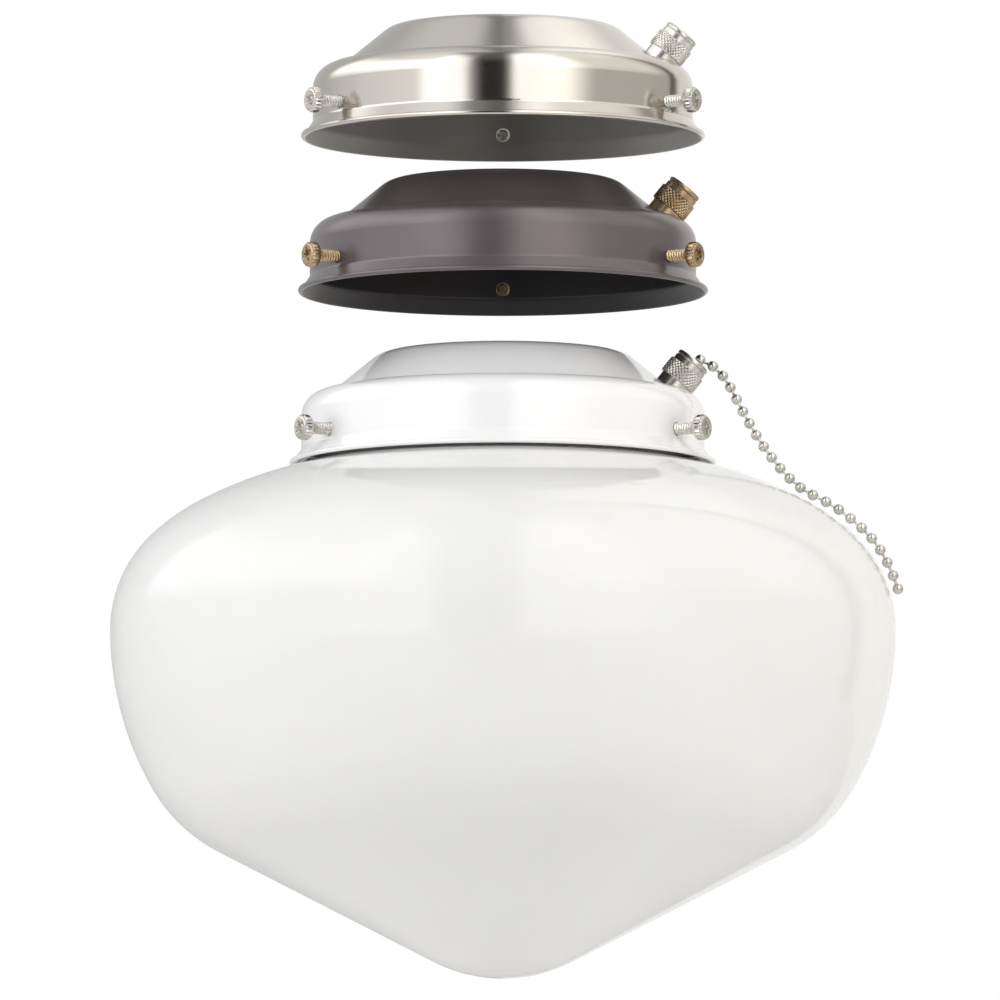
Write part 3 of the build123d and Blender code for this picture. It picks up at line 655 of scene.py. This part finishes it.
def screw_head(seat, turn):
    """A revolved edge with teeth, and a face lowered inside two crossed arms."""
    edge = np.array(
        [
            [0.0, 0.0],
            [0.0, 3.1],
            [0.12, 3.34],
            [0.4, 3.5],
            [1.2, 3.5],
            [2.0, 3.5],
            [2.35, 3.42],
            [2.62, 3.22],
            [2.8, 2.95],
            [2.88, 2.7],
        ]
    )
    face = np.linspace(2.6, 0.0, FACE_ROWS)
    level = np.full(FACE_ROWS, FACE_LEVEL)
    rows = np.concatenate([edge, np.stack([level, face], axis=1)])
    angle = np.linspace(0.0, 2 * np.pi, TEETH * 4, endpoint=False)[None, :]
    radius = rows[:, 1][:, None]
    tooth = 0.5 + 0.5 * np.cos(TEETH * angle)
    radius = radius - 0.32 * tooth * soft_step(radius, 2.9, 3.3)
    y, z = radius * np.cos(angle), radius * np.sin(angle)
    across = y * np.cos(turn) + z * np.sin(turn)
    along = z * np.cos(turn) - y * np.sin(turn)
    first = soft_step(-np.abs(across), -0.72, -0.48) * soft_step(-np.abs(along), -2.15, -1.5)
    second = soft_step(-np.abs(along), -0.72, -0.48) * soft_step(-np.abs(across), -2.15, -1.5)
    recess = np.maximum(first, second) * 1.15 * (rows[:, 0][:, None] > 2.85)
    return np.stack([seat + rows[:, 0][:, None] - recess, y, z], axis=-1)


def screw_to_place(grid, fitter, azimuth):
    """Turns a screw from its own axis to its azimuth on the skirt, 24 mm under the disc."""
    a = np.radians(azimuth)
    outward = np.array([np.cos(a), np.sin(a), 0.0])
    sideways = np.array([-np.sin(a), np.cos(a), 0.0])
    centre = np.array([0.0, 0.0, fitter["top"] - SCREW_DEPTH])
    placed = grid[..., :1] * outward + grid[..., 1:2] * sideways
    placed = placed + grid[..., 2:] * np.array([0.0, 0.0, 1.0]) + centre
    return placed * MM


turns = iter([0.5, 0.2, 0.9, 0.3, 1.1, 0.6, 0.75, 0.35, 0.1])
for prefix, fitter in FITTERS.items():
    seat = fitter["skirt"] + SCREW_STAND
    for spot, azimuth in SCREWS.items():
        node = f"{prefix}thumb_screw_{spot}"
        grids = [screw_shank(fitter["tip"], seat), screw_head(seat, next(turns))]
        placed = [screw_to_place(grid, fitter, azimuth) for grid in grids]
        make_piece(f"{prefix}threaded_screw_{spot}", placed, node, node, sharp=35.0)
print("screws: 9, thread pitch", round(PITCH, 3), "mm")

# %% [markdown]
# ## Knurled nuts
#
# A knurling wheel presses two families of grooves that cross, and leaves rows of
# small pyramids. Each family is a saw of the angle plus or minus the height, and
# the lower of the two saws is the height of the metal between the grooves.

# %% One knurled nut with its cap
KNURLS, KNURL_ROWS, KNURL_RADIUS = 30, 36, 5.55


def knurled_grid():
    """Closed outline of (radius, height along the switch's axis), knurled by two saws."""
    knurl_rows = np.linspace(3.1, 7.3, KNURL_ROWS)
    outline = np.concatenate(
        [
            [[4.81, 2.8], [5.2, 2.8], [5.32, 2.95]],
            np.stack([np.full(KNURL_ROWS, KNURL_RADIUS), knurl_rows], axis=1),
            [[5.3, 7.42], [5.1, 7.5], [4.9, 7.5], [4.9, 8.3], [4.9, 8.95]],
            [[4.72, 9.02], [4.62, 9.2], [4.72, 9.38], [4.9, 9.45]],
            [[4.9, 10.0], [4.86, 10.2], [4.74, 10.37], [4.58, 10.47], [4.4, 10.5]],
            [[3.75, 10.5], [3.5, 10.42], [2.9, 9.8], [2.3, 9.1], [2.3, 7.4], [4.81, 7.4]],
        ]
    )
    angle = np.linspace(0.0, 2 * np.pi, KNURLS * 6, endpoint=False)[None, :]
    radius, height = outline[:, 0][:, None], outline[:, 1][:, None]
    lean = height / KNURL_RADIUS
    one = np.abs(np.mod(KNURLS * (angle + lean) / (2 * np.pi), 1.0) * 2 - 1)
    two = np.abs(np.mod(KNURLS * (angle - lean) / (2 * np.pi), 1.0) * 2 - 1)
    depth = 0.42 * (1 - np.minimum(one, two)) * (radius > 5.5)
    return radius - depth, np.broadcast_to(height, depth.shape), angle


def around_switch(fitter, radius, height, angle):
    """Point = crossing + normal * height + (down * cos + sideways * sin) * radius."""
    sideways = np.array([0.0, 1.0, 0.0])
    spoke = np.cos(angle)[..., None] * down_slope + np.sin(angle)[..., None] * sideways
    base = switch_crossing(fitter) + height[..., None] * cone_normal
    return (base + spoke * radius[..., None]) * MM


for prefix, fitter in FITTERS.items():
    radius, height, angle = knurled_grid()
    node = prefix + "knurled_cap"
    grid = around_switch(fitter, radius, height, np.broadcast_to(angle, radius.shape))
    make_piece(prefix + "knurled_nut", [grid], node, node, wrap_rows=True, sharp=32.0)
print("knurled nuts: 3 with", KNURLS, "grooves each way")

# %% [markdown]
# ## The ball chain
#
# Each hollow ball swivels on short dumbbell wires. The chain leaves the flared
# mouth of the knurled nut, falls to the shoulder of the glass and lies on it.
# A smooth curve through a few places gives the route, and the balls divide it
# into equal steps. Three more balls stand in the nut, on the way to the switch.

# %% Where the chain runs
BALL = 1.5
BALL_PITCH = 4.06
MOUTH = {"along": 11.55, "aside": 1.26}
HIDDEN_BALLS = 3
# Quarter turn of the shoulder, ball radii over the glass, glass radii to the front
RESTS = np.array(
    [
        (0.209, 3.30, 0.1158),
        (0.286, 1.51, 0.1344),
        (0.368, 1.57, 0.1372),
        (0.449, 1.71, 0.1251),
        (0.561, 1.78, 0.1066),
        (0.684, 1.60, 0.0834),
        (0.814, 1.49, 0.0556),
    ]
)
# From the mouth to the first rest: shares outwards, to the front and down
FALLS = np.array(
    [(0.278, 0.176, 0.147), (0.447, 0.376, 0.364), (0.610, 0.584, 0.589), (0.792, 0.800, 0.804)]
)


def over_shoulder(turn, lift, side):
    """Places at a height square to the dome or the belly, moved around to the front."""
    heading = np.radians(90.0 * turn)
    on_dome = heading < np.radians(90.0 - BELLY_SWEEP)
    radius = np.where(on_dome, DOME, BELLY)
    reach = np.where(on_dome, NECK + COVE, GLASS_RADIUS - BELLY)
    height = np.where(on_dome, SHOULDER_TOP - DOME, WIDEST[1])
    reach = reach + (radius + BALL * lift) * np.sin(heading)
    height = height + (radius + BALL * lift) * np.cos(heading)
    aside = GLASS_RADIUS * side
    return np.stack([np.sqrt(reach**2 - aside**2), -aside, height], axis=1)


def end_slope(places, points):
    """The slope at the first place of the cubic through the first four points."""
    cubic = np.polyfit(places[:4] - places[0], points[:4], 3)
    return cubic[2]


def smooth_route(points, samples):
    """A cubic spline through points, measured along its chords, without a kink.

    On each span the point is p0 h00 + m0 h10 + p1 h01 + m1 h11, and the slopes m
    solve h1 m0 + 2 (h0 + h1) m1 + h0 m2 = 3 (h1 d0 + h0 d1) at every inner point.
    """
    span = np.linalg.norm(np.diff(points, axis=0), axis=1)
    place = np.concatenate([[0.0], np.cumsum(span)])
    rise = np.diff(points, axis=0) / span[:, None]
    before, after = span[:-1, None], span[1:, None]
    matrix = np.eye(len(points))
    inner = np.arange(1, len(points) - 1)
    matrix[inner, inner - 1] = span[1:]
    matrix[inner, inner] = 2 * (span[:-1] + span[1:])
    matrix[inner, inner + 1] = span[:-1]
    sides = 3 * (after * rise[:-1] + before * rise[1:])
    first = end_slope(place, points)
    last = end_slope(place[::-1], points[::-1])
    slopes = np.linalg.solve(matrix, np.concatenate([[first], sides, [last]]))
    at = np.linspace(0.0, place[-1], samples)
    index = np.clip(np.searchsorted(place, at, side="right") - 1, 0, len(span) - 1)
    width = span[index][:, None]
    t = (at - place[index])[:, None] / width
    near, far = points[index], points[index + 1]
    bend = slopes[index] * (t**3 - 2 * t**2 + t) + slopes[index + 1] * (t**3 - t**2)
    return near * (2 * t**3 - 3 * t**2 + 1) + far * (3 * t**2 - 2 * t**3) + bend * width


def chain_centres():
    """The balls' centres: equal steps along the route, and three inside the nut."""
    base = switch_crossing(FITTERS[""])
    first = base + cone_normal * MOUTH["along"] + down_slope * MOUTH["aside"]
    rests = over_shoulder(*RESTS.T)
    falls = first + (rests[0] - first) * FALLS
    route = smooth_route(np.concatenate([[first], falls, rests]), 6000)
    run = np.concatenate([[0.0], np.cumsum(np.linalg.norm(np.diff(route, axis=0), axis=1))])
    links = round(run[-1] / BALL_PITCH)
    pitch = run[-1] / links
    stations = np.linspace(0.0, run[-1], links + 1)
    hanging = np.stack([np.interp(stations, run, axis) for axis in route.T], axis=1)
    entry = MOUTH["along"] - np.sqrt(pitch**2 - MOUTH["aside"] ** 2)
    levels = entry - pitch * np.arange(HIDDEN_BALLS)[::-1]
    return np.concatenate([base + cone_normal * levels[:, None], hanging])


CHAIN = chain_centres()
print("chain from", np.round(CHAIN[0], 2), "to", np.round(CHAIN[-1], 2))

# %% Balls and links
def spun_along(start, way, profile, columns):
    """Turns a profile of (radius, distance) about a line that leaves start along way."""
    first = np.cross(way, [0.0, 1.0, 0.0])
    first /= np.linalg.norm(first)
    second = np.cross(way, first)
    angle = np.linspace(0.0, 2 * np.pi, columns, endpoint=False)[None, :, None]
    radius, distance = profile[:, 0][:, None, None], profile[:, 1][:, None, None]
    spoke = np.cos(angle) * first + np.sin(angle) * second
    return (start + way * distance + spoke * radius) * MM


polar = np.radians(np.linspace(0.0, 180.0, 17))
ball_outline = BALL * np.stack([np.sin(polar), -np.cos(polar)], axis=1)
ball_outline[1:-1, 0] *= 1 - 0.03 * (np.abs(ball_outline[1:-1, 1]) > 1.3)
steps = np.diff(CHAIN, axis=0)
lengths = np.linalg.norm(steps, axis=1)
ways = steps / lengths[:, None]
ball_ways = np.concatenate([ways, ways[-1:]])
chain_grids = [
    spun_along(centre, way, ball_outline, 22) for centre, way in zip(CHAIN, ball_ways)
]
for centre, way, length in zip(CHAIN, ways, lengths):
    middle = np.linspace(BALL * 0.8, length - BALL * 0.8, 7)
    waist = 0.36 + 0.16 * np.abs(np.linspace(-1, 1, 7)) ** 2
    link = np.stack([waist, middle], axis=1)
    chain_grids.append(spun_along(centre, way, link, 10))
make_piece("ball_chain", chain_grids, "pull", "pull_chain", sharp=60.0)
print("balls", len(CHAIN), "pitch", np.round(lengths[[0, 5, 20]], 2))

# %% [markdown]
# ## The studio
#
# A white product picture is lit by two big soft boxes, left and right of the
# camera, and a third from the brow. The lamps light the surfaces, and the world
# draws what metal mirrors of such a studio: the two boxes with soft edges, the
# dark gap between them, a bright side wall, two windows, and behind a dark post
# and a paler wall. The camera and clear glass see a white backdrop.

# %% Soft boxes
def soft_box(name, azimuth, elevation, distance, width, height, radiance, colour):
    """A rectangular lamp that faces the object; its power is radiance times pi times area."""
    a, e = np.radians(azimuth), np.radians(elevation)
    data = bpy.data.lights.new(name, "AREA")
    data.shape = "RECTANGLE"
    data.size, data.size_y = width, height
    data.energy = radiance * np.pi * width * height
    data.color = colour
    lamp = bpy.data.objects.new(name, data)
    bpy.context.scene.collection.objects.link(lamp)
    way = Vector((np.sin(a) * np.cos(e), -np.cos(a) * np.cos(e), np.sin(e)))
    lamp.location = way * distance + Vector((0, 0, -0.04))
    lamp.rotation_mode = "QUATERNION"
    lamp.rotation_quaternion = (-way).to_track_quat("-Z", "Y")
    lamp.visible_glossy = False


soft_box("left_soft_box", -72.0, 0.0, 2.4, 2.2, 1.2, 2.7, (1.0, 1.0, 1.0))
soft_box("right_soft_box", 70.0, 0.0, 2.4, 2.2, 1.2, 2.5, (1.0, 0.98, 0.955))
soft_box("brow_soft_box", 0.0, 40.0, 2.3, 2.8, 1.0, 2.5, (1.0, 1.0, 1.0))

# %% What metal mirrors
bpy.context.scene.view_settings.view_transform = "Standard"
world = bpy.data.worlds.new("studio")
bpy.context.scene.world = world
world.use_nodes = True
bench = Bench(world.node_tree)
direction = bench.add("ShaderNodeTexCoord", output=0)
east, north, rise = bench.parts(direction)
around = east.math("ARCTAN2", 0.0 - north)
upright = rise.step(-0.55, -0.3) * (1.0 - rise.step(0.9, 0.99))
left_box = around.step(-0.98, -0.8) * (1.0 - around.step(-0.46, -0.32)) * upright
right_box = around.step(0.04, 0.16) * (1.0 - around.step(0.62, 1.05)) * upright
left_wall = around.step(-2.7, -1.0) * (1.0 - around.step(-0.42, -0.3))
high = rise.step(0.15, 0.3) * (1.0 - rise.step(0.6, 0.8))
left_window = around.step(-2.4, -2.25) * (1.0 - around.step(-0.8, -0.5)) * high
right_window = around.step(0.32, 0.4) * (1.0 - around.step(1.8, 2.2)) * high
overhead = rise.step(0.6, 0.85)
before = 1.0 - north.step(-0.2, 0.1)
front_gap = east.step(-0.38, -0.2) * (1.0 - east.step(0.0, 0.12)) * before
top_gap = (1.0 - east.math("ABSOLUTE").step(0.02, 0.14)) * overhead * 0.8
gap = front_gap.math("MAXIMUM", top_gap)
room = 0.55 + left_wall * 0.36 + overhead * (0.2 + east.step(0.0, 0.3) * 0.4)
room = room - rise.step(-0.1, -0.5) * 0.1 + left_window + right_window * 0.5
dark_post = around.step(2.12, 2.17) * (1.0 - around.step(2.25, 2.3))
rear_wall = around.step(2.3, 2.36)
room = room * (1.0 - dark_post * 0.75) + rear_wall * 0.35
darkness = gap * (0.97 - rise.step(0.35, 0.8) * 0.15)
mirrored = (room + left_box * 0.7 + right_box * 1.1) * (1.0 - darkness)

# %% The world
behind = north.step(-0.2, 0.7)
fill = 0.5 + rise * 0.2 - behind * 0.04
seen = bench.add("ShaderNodeLightPath", output=0)
path = bench.last.outputs
seen = seen.math("MAXIMUM", Wire(bench, path["Is Transmission Ray"]))
glossy = Wire(bench, path["Is Glossy Ray"])
level = glossy * mirrored + (1.0 - glossy) * fill
strength = seen + (1.0 - seen) * level
warmth = east.step(0.0, 0.6) * (1.0 - seen)
colour = bench.mix(warmth, rgb(1.0, 1.0, 1.0), rgb(1.0, 0.965, 0.92))
backdrop = bench.add("ShaderNodeBackground", {}, [colour, strength])
bench.add("ShaderNodeOutputWorld", {}, [backdrop])

# %% The floor
def make_floor_paint():
    """Pale paint on the upper face; from below the camera looks through it."""
    material, bench = new_finish("floor_paint")
    cloud = bench.noise(bench.place(), 90.0, 2.0)
    tint = bench.mix(cloud, rgb(0.84, 0.84, 0.84), rgb(0.86, 0.86, 0.86))
    paint = bench.add("ShaderNodeBsdfPrincipled", {}, {"Base Color": tint, "Roughness": 0.6})
    clear = bench.add("ShaderNodeBsdfTransparent")
    bench.add("ShaderNodeNewGeometry")
    underside = Wire(bench, bench.last.outputs["Backfacing"])
    shader = bench.add("ShaderNodeMixShader", {}, [underside, paint, clear])
    bench.add("ShaderNodeOutputMaterial", {}, [shader])
    return material


FLOOR_REACH, FLOOR_LEVEL = 6.0, -1.2
corners = [(-1, -1), (1, -1), (1, 1), (-1, 1)]
floor_points = [(x * FLOOR_REACH, y * FLOOR_REACH, FLOOR_LEVEL) for x, y in corners]
floor_mesh = bpy.data.meshes.new("studio_floor")
floor_mesh.from_pydata(floor_points, [], [(0, 1, 2, 3)])
floor = bpy.data.objects.new("studio_floor", floor_mesh)
bpy.context.scene.collection.objects.link(floor)
floor_mesh.materials.append(make_floor_paint())
print("lamps:", len(bpy.data.lights))
